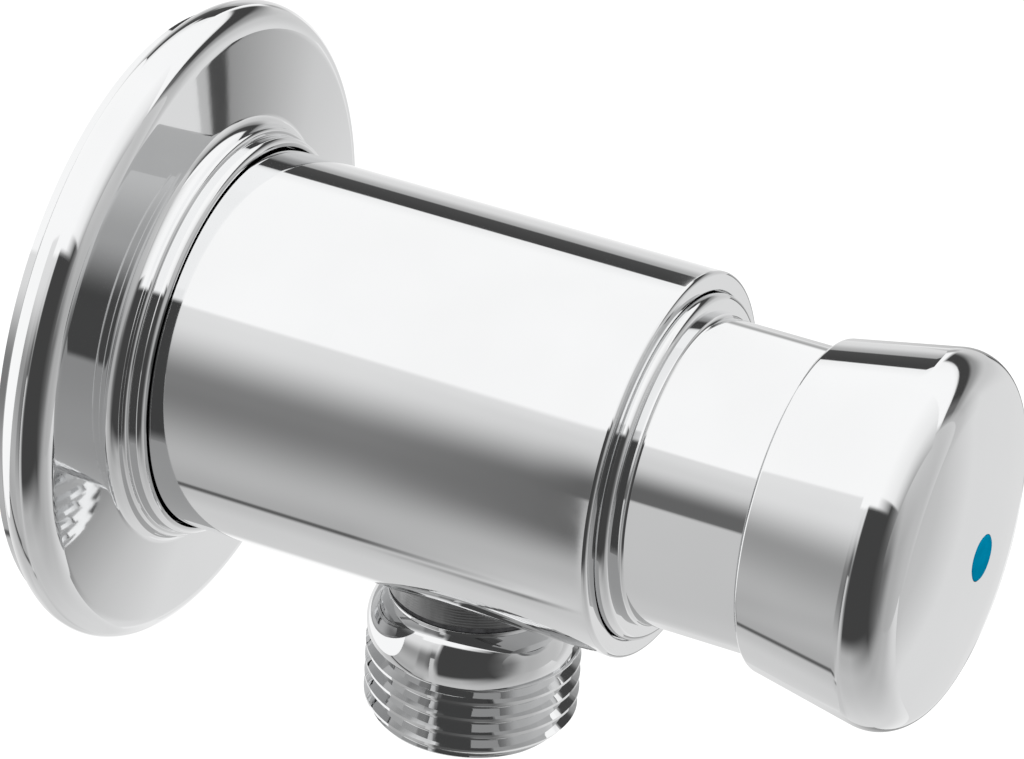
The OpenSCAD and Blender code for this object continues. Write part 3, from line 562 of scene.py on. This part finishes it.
class VALVE_OT_body(Operator):
    """Turns the barrel with its tail and bores, adds the outlet's boss and cuts the port and the tail's thread"""

    bl_idname = "flush_valve.body"
    bl_label = "Body"

    def execute(self, context):
        s = context.scene.valve_body_sizes
        thread = context.scene.valve_thread
        place = context.scene.valve_outlet.place
        recess_rear = s.barrel_front - s.recess_depth
        boss_top = (s.cartridge_bore + s.barrel_radius) / 2
        port_end = s.boss_drop + OVERCUT
        outline = Outline(s.inlet_bore, -s.tail_reach)
        outline.lines((thread.radius - s.tail_chamfer, -s.tail_reach),
                      (thread.radius, -s.tail_reach + s.tail_chamfer), (thread.radius, s.barrel_rear),
                      (s.barrel_radius, s.barrel_rear, s.rear_edge),
                      (s.barrel_radius, place - s.boss_radius - BOSS_MARGIN),
                      (s.barrel_radius, place + s.boss_radius + BOSS_MARGIN),
                      (s.barrel_radius, s.barrel_front, s.front_edge),
                      (s.recess, s.barrel_front, s.front_edge / 3), (s.recess, recess_rear),
                      (s.nut_bore, recess_rear), (s.nut_bore, s.nut_bore_rear),
                      (s.cartridge_bore, s.nut_bore_rear), (s.cartridge_bore, s.cartridge_rear),
                      (s.chamber_bore, s.cartridge_rear), (s.chamber_bore, s.chamber_rear),
                      (s.inlet_bore, s.chamber_rear))
        casting = outline.turned()

        boss = Outline(0, boss_top)
        boss.lines((s.boss_radius, boss_top), (s.boss_radius, s.boss_drop), (0, s.boss_drop))
        casting = combined(casting, hung(boss.turned(SMALL_PIECE_STEPS), place), "UNION")
        port = Outline(0, s.cartridge_bore / 2)
        port.lines((s.port, s.cartridge_bore / 2), (s.port, port_end), (0, port_end))
        casting = combined(casting, hung(port.turned(SMALL_PIECE_STEPS), place), "DIFFERENCE")
        cutter = thread_cutter(thread, -s.tail_reach - thread.pitch, -thread.pitch * 1.5)
        casting = combined(casting, cutter, "DIFFERENCE")

        leave_bare(casting, s.nut_bore + TOUCH)
        for face in casting.faces:
            centre = face.calc_center_median()
            if centre.y > -s.barrel_rear - TOUCH and math.hypot(centre.x, centre.z) > s.inlet_bore + TOUCH:
                face.material_index = 0
            # The boss's faces take the darkened satin: painted shade under the barrel
            if centre.z < -s.nut_bore and math.hypot(centre.x, centre.y + place) < s.boss_radius + TOUCH / 2:
                face.material_index = 2
        finished(casting, "body_casting", "valve", "valve_body", "chrome", finish_of("brass"), finish_of("satin"))
        return {"FINISHED"}


class VALVE_OT_outlet(Operator):
    """Turns the outlet nipple with its rounded shoulder, cuts its pipe thread and seats its sealing ring"""

    bl_idname = "flush_valve.outlet"
    bl_label = "Outlet"

    def execute(self, context):
        s = context.scene.valve_outlet
        body = context.scene.valve_body_sizes
        thread = context.scene.valve_thread
        shoulder_drop = -RING_LOW.z
        neck_end = shoulder_drop + s.neck_length
        thread_start = neck_end + s.shoulder_length
        rise = Vector((thread.radius - s.shoulder_step - body.boss_radius, s.shoulder_length))
        middle = Vector((body.boss_radius, neck_end)) + rise / 2
        inward = Vector((-rise.y, rise.x)).normalized()
        centre = middle + inward * math.sqrt(s.shoulder_radius**2 - (rise.length / 2) ** 2)

        outline = Outline(s.bore, s.insert_drop)
        outline.lines((s.insert_radius, s.insert_drop, s.insert_edge), (s.insert_radius, shoulder_drop),
                      (s.neck_radius, shoulder_drop, HAIR_EDGE), (s.neck_radius, neck_end),
                      (body.boss_radius, neck_end))
        outline.arc(centre.x, centre.y, 2 * math.asin(rise.length / 2 / s.shoulder_radius), steps=14)
        outline.lines((thread.radius, thread_start), (thread.radius, s.end_drop - s.end_chamfer_length),
                      (thread.radius - s.end_chamfer_width, s.end_drop), (s.bore, s.end_drop, FINE_EDGE))
        cutter = thread_cutter(thread, thread_start - thread.pitch / 2, s.end_drop + thread.pitch)
        nipple = hung(combined(outline.turned(), cutter, "DIFFERENCE"), s.place)
        leave_bare(nipple, s.bore + TOUCH, s.place)
        finished(nipple, "flush_outlet", "valve", "outlet_nipple", "chrome", finish_of("brass"))

        ring = Outline(body.port, -RING_HIGH.z)
        ring.lines((RING_HIGH.x, -RING_HIGH.z, s.ring_edge), (RING_HIGH.x, shoulder_drop, s.ring_edge),
                   (body.port, shoulder_drop))
        finished(hung(ring.turned(SMALL_PIECE_STEPS), s.place), "outlet_washer", "valve", "outlet_sealing_ring",
                 "fibre")
        return {"FINISHED"}


class VALVE_OT_head_nut(Operator):
    """Turns the head nut with its bead, small step and smooth neck, and cuts the two key slots"""

    bl_idname = "flush_valve.head_nut"
    bl_label = "Head nut"

    def execute(self, context):
        s = context.scene.valve_head_nut
        body = context.scene.valve_body_sizes
        rear, front = -NUT_HIGH.y, -NUT_LOW.y
        seat = body.barrel_front - body.recess_depth
        flange_front = body.barrel_front + s.flange_out
        step_front = flange_front + s.step_length
        step_radius = s.neck_radius + s.step
        outline = Outline(s.rear_bore, rear)
        outline.lines((s.thread_radius, rear, SOFT_EDGE), (s.thread_radius, seat), (s.flange_radius, seat),
                      (s.flange_radius, flange_front, s.flange_edge), (step_radius, flange_front),
                      (step_radius, step_front))
        outline.arc(step_radius, step_front + s.step, -math.pi / 2, steps=6)
        outline.lines((s.neck_radius, front, s.neck_edge), (s.neck_bore, front, FINE_EDGE),
                      (s.neck_bore, s.web_front), (s.plunger_bore, s.web_front), (s.plunger_bore, s.web_rear),
                      (s.rear_bore, s.web_rear))
        nut = outline.turned()
        for side in (1, -1):
            slot = bmesh.new()
            bmesh.ops.create_cube(slot, size=1)
            bmesh.ops.scale(slot, verts=slot.verts[:], vec=(s.slot_width, s.slot_depth * 2, s.slot_reach))
            bmesh.ops.translate(slot, verts=slot.verts[:], vec=(0, -front, side * s.neck_radius))
            nut = combined(nut, slot, "DIFFERENCE")
        finished(nut, "neck_nut", "valve", "head_nut", "chrome")
        return {"FINISHED"}


class VALVE_OT_rosette(Operator):
    """Spins the wall rosette: rolled rim, shallow flange and stepped collar, hollow behind"""

    bl_idname = "flush_valve.rosette"
    bl_label = "Wall rosette"

    def execute(self, context):
        s = context.scene.valve_rosette
        rim_centre = ROSETTE_HIGH.x - s.rim_radius
        rim_middle = s.rim_height - s.rim_radius
        foot_out = rim_centre + s.foot_width
        foot_in = foot_out - s.wall
        step = s.collar_bore + s.step_width
        flange_top = s.rim_height + (rim_centre - step) * math.tan(s.flange_slope)
        step_front = s.flange_height + s.step_height
        front = -ROSETTE_LOW.y
        lip = s.collar_bore + s.lip_width
        hub = s.collar_bore + s.hub_width
        hub_rear = s.ring_place - s.hub_reach
        ring_rear, ring_front = s.ring_place - s.ring_width / 2, s.ring_place + s.ring_width / 2
        outer_start = math.asin((foot_out - rim_centre) / s.rim_radius) - math.pi / 2
        inner_end = -math.pi / 2 - math.asin((rim_centre - foot_in) / (s.rim_radius - s.wall))

        outline = Outline(foot_in, 0)
        outline.lines((foot_out, 0), (foot_out, rim_middle - s.rim_radius * math.sin(-outer_start)))
        outline.arc(rim_centre, rim_middle, math.pi / 2 - outer_start, steps=32)
        outline.lines((step, flange_top, s.flange_rounding), (step, step_front, SOFT_EDGE),
                      (lip, step_front, HAIR_EDGE), (lip, front, s.lip_edge), (s.collar_bore, front),
                      (s.collar_bore, ring_front), (s.ring_radius, ring_front), (s.ring_radius, ring_rear),
                      (s.collar_bore, ring_rear), (s.collar_bore, hub_rear), (hub, hub_rear),
                      (hub, flange_top - TOUCH - s.wall, s.hub_edge), (rim_centre, s.rim_height - s.wall))
        outline.arc(rim_centre, rim_middle, inner_end - math.pi / 2, steps=24)
        finished(outline.turned(256), "rosette_shell", "rosette", "wall_rosette", "chrome")
        return {"FINISHED"}


class VALVE_OT_button(Operator):
    """Turns the domed button with its flared side and the blue index plug in its face"""

    bl_idname = "flush_valve.button"
    bl_label = "Button"

    def execute(self, context):
        s = context.scene.valve_button
        mouth = -BUTTON_HIGH.y
        mouth_radius = s.bore + s.wall
        edge = Vector((s.radius - s.edge, s.face - s.crown))
        lip = Vector((mouth_radius, mouth + s.mouth_edge)) - edge
        touch = math.atan2(lip.y, lip.x) + math.acos(s.edge / lip.length)
        dome_radius = (edge.x**2 + s.crown**2 - s.edge**2) / (2 * (s.crown - s.edge))
        dome_centre = s.face - dome_radius
        shoulder = math.atan2(edge.y - dome_centre, edge.x)
        plug_hole = PLUG_HIGH.x + s.plug_gap
        seat_front = s.ceiling + s.seat_depth

        outline = Outline(0, seat_front)
        outline.lines((s.seat_radius, seat_front), (s.seat_radius, s.ceiling), (s.bore, s.ceiling, SOFT_EDGE),
                      (s.bore, mouth, FINE_EDGE), (mouth_radius, mouth, s.mouth_edge),
                      (edge.x + s.edge * math.cos(touch), edge.y + s.edge * math.sin(touch)))
        outline.arc(*edge, shoulder - touch, steps=24)
        outline.arc(0, dome_centre, math.acos(plug_hole / dome_radius) - shoulder, steps=20)
        outline.lines((plug_hole, -PLUG_HIGH.y), (0, -PLUG_HIGH.y))
        finished(outline.turned(), "button_cap", "button", "push_button", "chrome")

        plug = Outline(0, -PLUG_HIGH.y)
        plug.lines((PLUG_HIGH.x, -PLUG_HIGH.y), (PLUG_HIGH.x, -PLUG_LOW.y, s.plug_edge), (0, -PLUG_LOW.y))
        finished(plug.turned(96), "index_dot", "button", "index_plug", "blue_plastic")
        return {"FINISHED"}


class VALVE_OT_springs(Operator):
    """Winds the button spring and the closing spring"""

    bl_idname = "flush_valve.springs"
    bl_label = "Springs"

    def execute(self, context):
        s = context.scene.valve_springs
        windings = (
            ("button_coil", "button", "button_spring", "button_press", s.button_wire, s.button_turns,
             BUTTON_SPRING_LOW, BUTTON_SPRING_HIGH),
            ("closing_coil", "stem", "closing_spring", "stem_slide", s.closing_wire, s.closing_turns,
             CLOSING_SPRING_LOW, CLOSING_SPRING_HIGH),
        )
        for name, body, node, joint, wire, turns, low, high in windings:
            winding = coil(high.x - wire / 2, wire, turns, -high.y, -low.y)
            piece = finished(winding, name, body, node, "steel")
            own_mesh(piece)
        return {"FINISHED"}


class VALVE_OT_inner_finishes(Operator):
    """Gives every CAD node that is still shown the finish of its material slot"""

    bl_idname = "flush_valve.inner_finishes"
    bl_label = "Inner finishes"

    def execute(self, context):
        slots = {part["node"]: part["material_slot"] for part in frame["record"]["subparts"]}
        for name, node in frame["nodes"].items():
            if not node.hide_render:
                for place in node.material_slots:
                    place.material = finish_of(slots[name])
        return {"FINISHED"}


class Card(Wiring):
    """A card that only reflections show, bent round the barrel's axis or, if upright, round a plumb line.

    angles are its first and last angle in degrees and ends its first and last place along that axis. An
    angle of 0 looks along +X; it grows upwards, or towards the front if the card is upright. A column is a
    place along the axis and the tones there, each with its angle, and neighbours blend. second holds the tones
    that a reflection in a reflection shows on the card's front and low parts. lean is the angle by which the
    tones have drifted at the card's front end."""

    def __init__(self, name, upright, radius, angles, ends, columns, second=None, lean=0):
        self.angles = angles
        first, last = (math.radians(angle) for angle in angles)
        panel = self.bent(name, upright, radius, first, last, ends)
        surface = bpy.data.materials.new(name)
        surface.use_nodes = True
        super().__init__(surface.node_tree)
        self.nodes.clear()
        panel.data.materials.append(surface)

        split = self.add("SeparateXYZ", {"Vector": self.add("TexCoord").outputs["Object"]}).outputs
        towards = self.math("MULTIPLY", split["Y" if upright else "Z"], -1 if upright else 1)
        middle = (first + last) / 2
        bearing = self.math("WRAP", self.math("ARCTAN2", towards, split["X"]), middle + math.pi, middle - math.pi)
        drift = self.spread(split["Y"], DRIFT_START, ends[0], 0, math.radians(lean))
        self.share = self.spread(self.math("SUBTRACT", bearing, drift), first, last)
        tone = self.blended(split["Z" if upright else "Y"], columns)
        if second:
            depth = self.add("LightPath").outputs["Glossy Depth"]
            dimmed = self.math("MULTIPLY", self.math("GREATER_THAN", depth, 1.5),
                               self.math("MAXIMUM", self.math("LESS_THAN", split["Y"], SECOND_FRONT),
                                         self.math("LESS_THAN", split["Z"], SECOND_LOW)))
            tone = self.mix(dimmed, tone, self.tones(second))
        glow = self.add("Emission", {"Color": tone}).outputs["Emission"]
        self.add("OutputMaterial", {"Surface": glow})

    def bent(self, name, upright, radius, first, last, ends):
        turn_axis = (0, 0, -1) if upright else (0, -1, 0)
        mesh = bmesh.new()
        corners = [mesh.verts.new((radius, 0, end) if upright else (radius, end, 0)) for end in ends]
        edge = mesh.edges.new(corners)
        bmesh.ops.rotate(mesh, verts=corners, matrix=Matrix.Rotation(first, 3, turn_axis))
        bmesh.ops.spin(mesh, geom=[edge, *corners], cent=(0, 0, 0), axis=turn_axis, angle=last - first, steps=90,
                       use_merge=False)
        panel = placed(mesh, name)
        panel.visible_camera = panel.visible_diffuse = panel.visible_transmission = panel.visible_shadow = False
        return panel

    def tones(self, stops):
        first, last = self.angles
        stops = [((angle - first) / (last - first), (tone, tone, tone)) for angle, tone in stops]
        return self.ramp(self.share, stops, "EASE")

    def blended(self, place, columns):
        spot, stops = columns[0]
        tone = self.tones(stops)
        for next_spot, stops in columns[1:]:
            tone = self.mix(self.spread(place, spot, next_spot), tone, self.tones(stops))
            spot = next_spot
        return tone


class VALVE_OT_stage(Operator):
    """Sets the pale floor, the soft light, the cards that the chrome mirrors and the camera"""

    bl_idname = "flush_valve.stage"
    bl_label = "Stage"

    def execute(self, context):
        s = context.scene.valve_stage
        scene = context.scene
        self.lay_floor(s)
        self.light_room(scene, s)
        self.hang_side_card()
        self.hang_far_card()
        self.hang_front_card()
        self.hang_under_card()
        self.place_camera(scene, s)
        scene.view_settings.view_transform = "Standard"
        return {"FINISHED"}

    def hang_side_card(self):
        """The dark side towards the camera, from its lit foot at 310 degrees up to the white above 140."""
        deep_front = [(310, 0.75), (270, 0.48), (192, 0.14), (165, 0.14), (110, 0.42), (60, 0.5)]
        deep_far = [(310, 0.7), (270, 0.5), (250, 0.43), (220, DARK), (132, DARK), (130, 0.86)]
        deep = [(310, 0.88), (297, 0.72), (245, 0.54), (229, 0.46), (214, DARK), (139, DARK), (136, 1)]
        button_edge = [(310, 0.8), (270, 0.61), (220, 0.48), (187, 0.22), (178, 0.25), (146, 0.79), (139, 0.81),
                       (137, 1)]
        neck = [(310, 0.8), (280, 0.59), (250, 0.56), (180, 0.57), (178, 0.13), (171, 0.13), (151, 0.67),
                (140, 0.75), (138, 1)]
        lip = [(310, 0.9), (285, 0.69), (265, 0.6), (252, 0.62), (225, 0.47), (200, 0.12), (172, 0.12),
               (148, 0.69), (141, 0.75), (138, 1)]
        barrel_front = [(310, 1), (298, 0.68), (272, 0.64), (260, 0.56), (257, 0.2), (254, 0.68), (245, 0.56),
                        (228, 0.49), (197, 0.155), (177, 0.155), (148, 0.69), (141, 0.77), (138, 1)]
        barrel_rear = [(310, 1), (297, 0.65), (272, 0.64), (255, 0.55), (252, 0.1), (251, 0.1), (249, 0.42),
                       (230, 0.48), (188, 0.2), (180, 0.21), (147, 0.76), (140, 0.78), (138, 1)]
        flare = [(310, 0.8), (260, 0.55), (253, 0.42), (251, 0.09), (247, 0.09), (246, 0.47), (235, 0.42),
                 (215, 0.46), (180, 0.32), (147, 0.77), (133, 0.8), (131, 1)]
        second = [(310, 0.42), (247, 0.33), (190, 0.28), (185, 0.06), (150, 0.06), (110, 0.38), (60, 0.55)]
        Card("side_card", upright=False, radius=0.45, angles=(310, 60), ends=(-1.1, 0.5), second=second,
             columns=[(-0.75, deep_front), (-0.4, deep_far), (-0.1, deep), (0.03, deep), (0.06, button_edge),
                      (0.075, neck), (0.1038, neck), (0.1042, lip), (0.115, barrel_front), (0.15, barrel_rear),
                      (0.215, barrel_rear), (0.24, flare)])

    def hang_far_card(self):
        """A dark strip beyond the valve, which the top of each piece mirrors."""
        button = [(-50, 0.95), (-30, 0.72), (1, 0.66), (12, DARK), (21, DARK), (26, 0.95), (40, 1)]
        neck = [(-30, 1), (-12, 0.95), (1, 0.4), (7, 1)]
        barrel = [(-30, 1), (0, 0.74), (13, 0.42), (15, 0.07), (29, DARK), (30, 0.92), (40, 1)]
        flare = [(-30, 0.8), (-16, 0.8), (4, 0.49), (13, 0.09), (24, DARK), (25, 0.8), (40, 1)]
        Card("far_card", upright=False, radius=0.45, angles=(-50, 60), ends=(-0.6, 0.5), lean=29,
             columns=[(-0.6, [(-50, 0.54), (60, 0.48)]), (-0.5, self.strip(7, 0.14, 0.57)),
                      (-0.44, self.strip(7, 0.14, 0.64)), (-0.36, self.strip(6)), (-0.1, self.strip(4.5)),
                      (0.05, button), (0.075, neck), (0.1038, neck), (0.1042, barrel), (0.21, barrel),
                      (0.245, flare)], second=[(-50, 0.45), (60, 0.45)])

    def strip(self, half, depth=DARK, below=0.74, middle=17.5):
        """Tones of the far card where its dark strip lies half degrees to each side of the middle."""
        start, end = middle - half, middle + half
        return [(start - 38, below), (start - 18, below * 0.82), (start - 5, 0.3), (start, depth), (end, depth),
                (end + 1.5, 0.9), (end + 6, 1)]

    def hang_front_card(self):
        """The soft grey before the button, which its dome and its rounded edge mirror."""
        floor = [(0, 1), (13, 0.8), (52, 0.71), (80, 0.37), (91, 0.38), (107, 0.56), (130, 0.6)]
        below = [(0, 1), (15, 0.83), (39, 0.76), (70, 0.52), (99, 0.43), (130, DARK)]
        level = [(0, 0.95), (39, 0.76), (70, 0.53), (100, 0.43), (118, 0.16), (130, DARK)]
        above = [(0, 1), (43, 0.82), (58, 0.58), (91, 0.65), (130, 0.42)]
        Card("front_card", upright=True, radius=0.8, angles=(0, 130), ends=(-1.1, 1.2),
             columns=[(-1.05, floor), (-0.45, below), (0.0, level), (0.6, above)])

    def hang_under_card(self):
        """A small graded card under the barrel, which the flange and the outlet's shoulder mirror."""
        def gap(low, high):
            return [(-70, low), (-41, low), (-38, 0.9), (-29, 0.9), (-26, high)]

        def soft(low, high):
            return [(-70, low), (-36, low), (-16, high)]

        Card("under_card", upright=False, radius=0.1, angles=(-70, -2), ends=(-0.073, -0.02),
             columns=[(-0.0705, gap(0.3, 0.5)), (-0.0695, gap(0.3, 0.07)), (-0.0655, gap(0.38, 0.07)),
                      (-0.064, soft(0.4, 0.3)), (-0.054, soft(0.56, 0.42)), (-0.04, soft(0.73, 0.62)),
                      (-0.028, soft(0.75, 0.72)), (-0.02, [(-70, 0.9), (-2, 0.9)])])

    def lay_floor(self, s):
        mesh = bmesh.new()
        bmesh.ops.create_grid(mesh, x_segments=1, y_segments=1, size=s.floor_size / 2)
        bmesh.ops.translate(mesh, verts=mesh.verts[:], vec=(0, 0, s.floor_height))
        floor = placed(mesh, "floor")
        pale = bpy.data.materials.new("pale_floor")
        pale.use_nodes = True
        wiring = Wiring(pale.node_tree)
        shader = wiring.nodes["Principled BSDF"]
        shader.inputs["Base Color"].default_value = (s.floor_tone, s.floor_tone, s.floor_tone, 1)
        shader.inputs["Roughness"].default_value = 0.9
        shader.inputs["Specular IOR Level"].default_value = 0.0
        matt = shader.outputs["BSDF"]
        glow = wiring.add("Emission", {"Strength": 0.5}).outputs["Emission"]
        lit = wiring.add("AddShader", {0: matt, 1: glow}).outputs["Shader"]
        path = wiring.add("LightPath").outputs["Is Camera Ray"]
        seen = wiring.add("MixShader", {"Fac": path, 1: matt, 2: lit}).outputs["Shader"]
        wiring.links.new(seen, wiring.nodes["Material Output"].inputs["Surface"])
        floor.data.materials.append(pale)
        floor.visible_glossy = False

    def light_room(self, scene, s):
        """Plain soft light all round, over the white that the camera and the chrome see."""
        world = bpy.data.worlds.new("soft_room")
        scene.world = world
        world.use_nodes = True
        wiring = Wiring(world.node_tree)
        light = wiring.nodes["Background"]
        light.inputs["Color"].default_value = (1, 1, 1, 1)
        light.inputs["Strength"].default_value = s.day_level
        path = wiring.add("LightPath").outputs
        white = wiring.add("Background", {"Color": wiring.spread(path["Glossy Depth"], 1, 2, 1, 0.4)})
        seen = wiring.math("MAXIMUM", wiring.math("MAXIMUM", path["Is Camera Ray"], path["Is Glossy Ray"]),
                           path["Is Transmission Ray"])
        choice = wiring.add("MixShader", {"Fac": seen, 1: light.outputs["Background"],
                                          2: white.outputs["Background"]})
        wiring.links.new(choice.outputs["Shader"], wiring.nodes["World Output"].inputs["Surface"])
        lamp = bpy.data.lights.new("overhead_softbox", "AREA")
        lamp.shape = "SQUARE"
        lamp.size = 1.2
        lamp.energy = 4.5
        hung_lamp = bpy.data.objects.new("overhead_softbox", lamp)
        hung_lamp.location = (-0.2, -0.3, 1.2)
        hung_lamp.visible_glossy = False
        scene.collection.objects.link(hung_lamp)

    def place_camera(self, scene, s):
        azimuth, elevation, roll = s.camera_azimuth, s.camera_elevation, s.camera_roll
        back = Vector((math.sin(azimuth) * math.cos(elevation), -math.cos(azimuth) * math.cos(elevation),
                       math.sin(elevation)))
        right = (-back).cross(Vector((0, 0, 1))).normalized()
        up = right.cross(-back)
        turned_right = right * math.cos(roll) - up * math.sin(roll)
        turned_up = right * math.sin(roll) + up * math.cos(roll)
        data = bpy.data.cameras.new("photo_camera")
        data.lens = s.camera_lens
        data.sensor_width = 36
        data.clip_start = 0.01
        camera = bpy.data.objects.new("photo_camera", data)
        turn = Matrix((turned_right, turned_up, back)).transposed().to_4x4()
        camera.matrix_world = Matrix.Translation(s.camera_place) @ turn
        scene.collection.objects.link(camera)
        scene.camera = camera


GROUPS = {
    "valve_body_sizes": BodySizes,
    "valve_thread": ThreadSizes,
    "valve_outlet": OutletSizes,
    "valve_head_nut": NutSizes,
    "valve_rosette": RosetteSizes,
    "valve_button": ButtonSizes,
    "valve_springs": SpringSizes,
    "valve_finishes": Finishes,
    "valve_stage": StageSettings,
}
OPERATORS = (VALVE_OT_body, VALVE_OT_outlet, VALVE_OT_head_nut, VALVE_OT_rosette, VALVE_OT_button,
             VALVE_OT_springs, VALVE_OT_inner_finishes, VALVE_OT_stage)


class VALVE_PT_pieces(Panel):
    """Lists the pieces of the flush valve and the sizes that they are made from"""

    bl_idname = "VALVE_PT_pieces"
    bl_label = "Flush valve"
    bl_space_type = "VIEW_3D"
    bl_region_type = "UI"
    bl_category = "Flush Valve"

    def draw(self, context):
        for operator in OPERATORS:
            self.layout.operator(operator.bl_idname)
        for group_name, group in GROUPS.items():
            box = self.layout.box()
            for size in group.__annotations__:
                box.prop(getattr(context.scene, group_name), size)


def register():
    for group_name, group in GROUPS.items():
        bpy.utils.register_class(group)
        setattr(bpy.types.Scene, group_name, PointerProperty(type=group))
    for kind in (*OPERATORS, VALVE_PT_pieces):
        bpy.utils.register_class(kind)


def unregister():
    for kind in reversed((*OPERATORS, VALVE_PT_pieces)):
        bpy.utils.unregister_class(kind)
    for group_name, group in reversed(GROUPS.items()):
        delattr(bpy.types.Scene, group_name)
        bpy.utils.unregister_class(group)


def main():
    register()
    for operator in OPERATORS:
        group, call = operator.bl_idname.split(".")
        getattr(getattr(bpy.ops, group), call)()


if __name__ == "__main__":
    main()
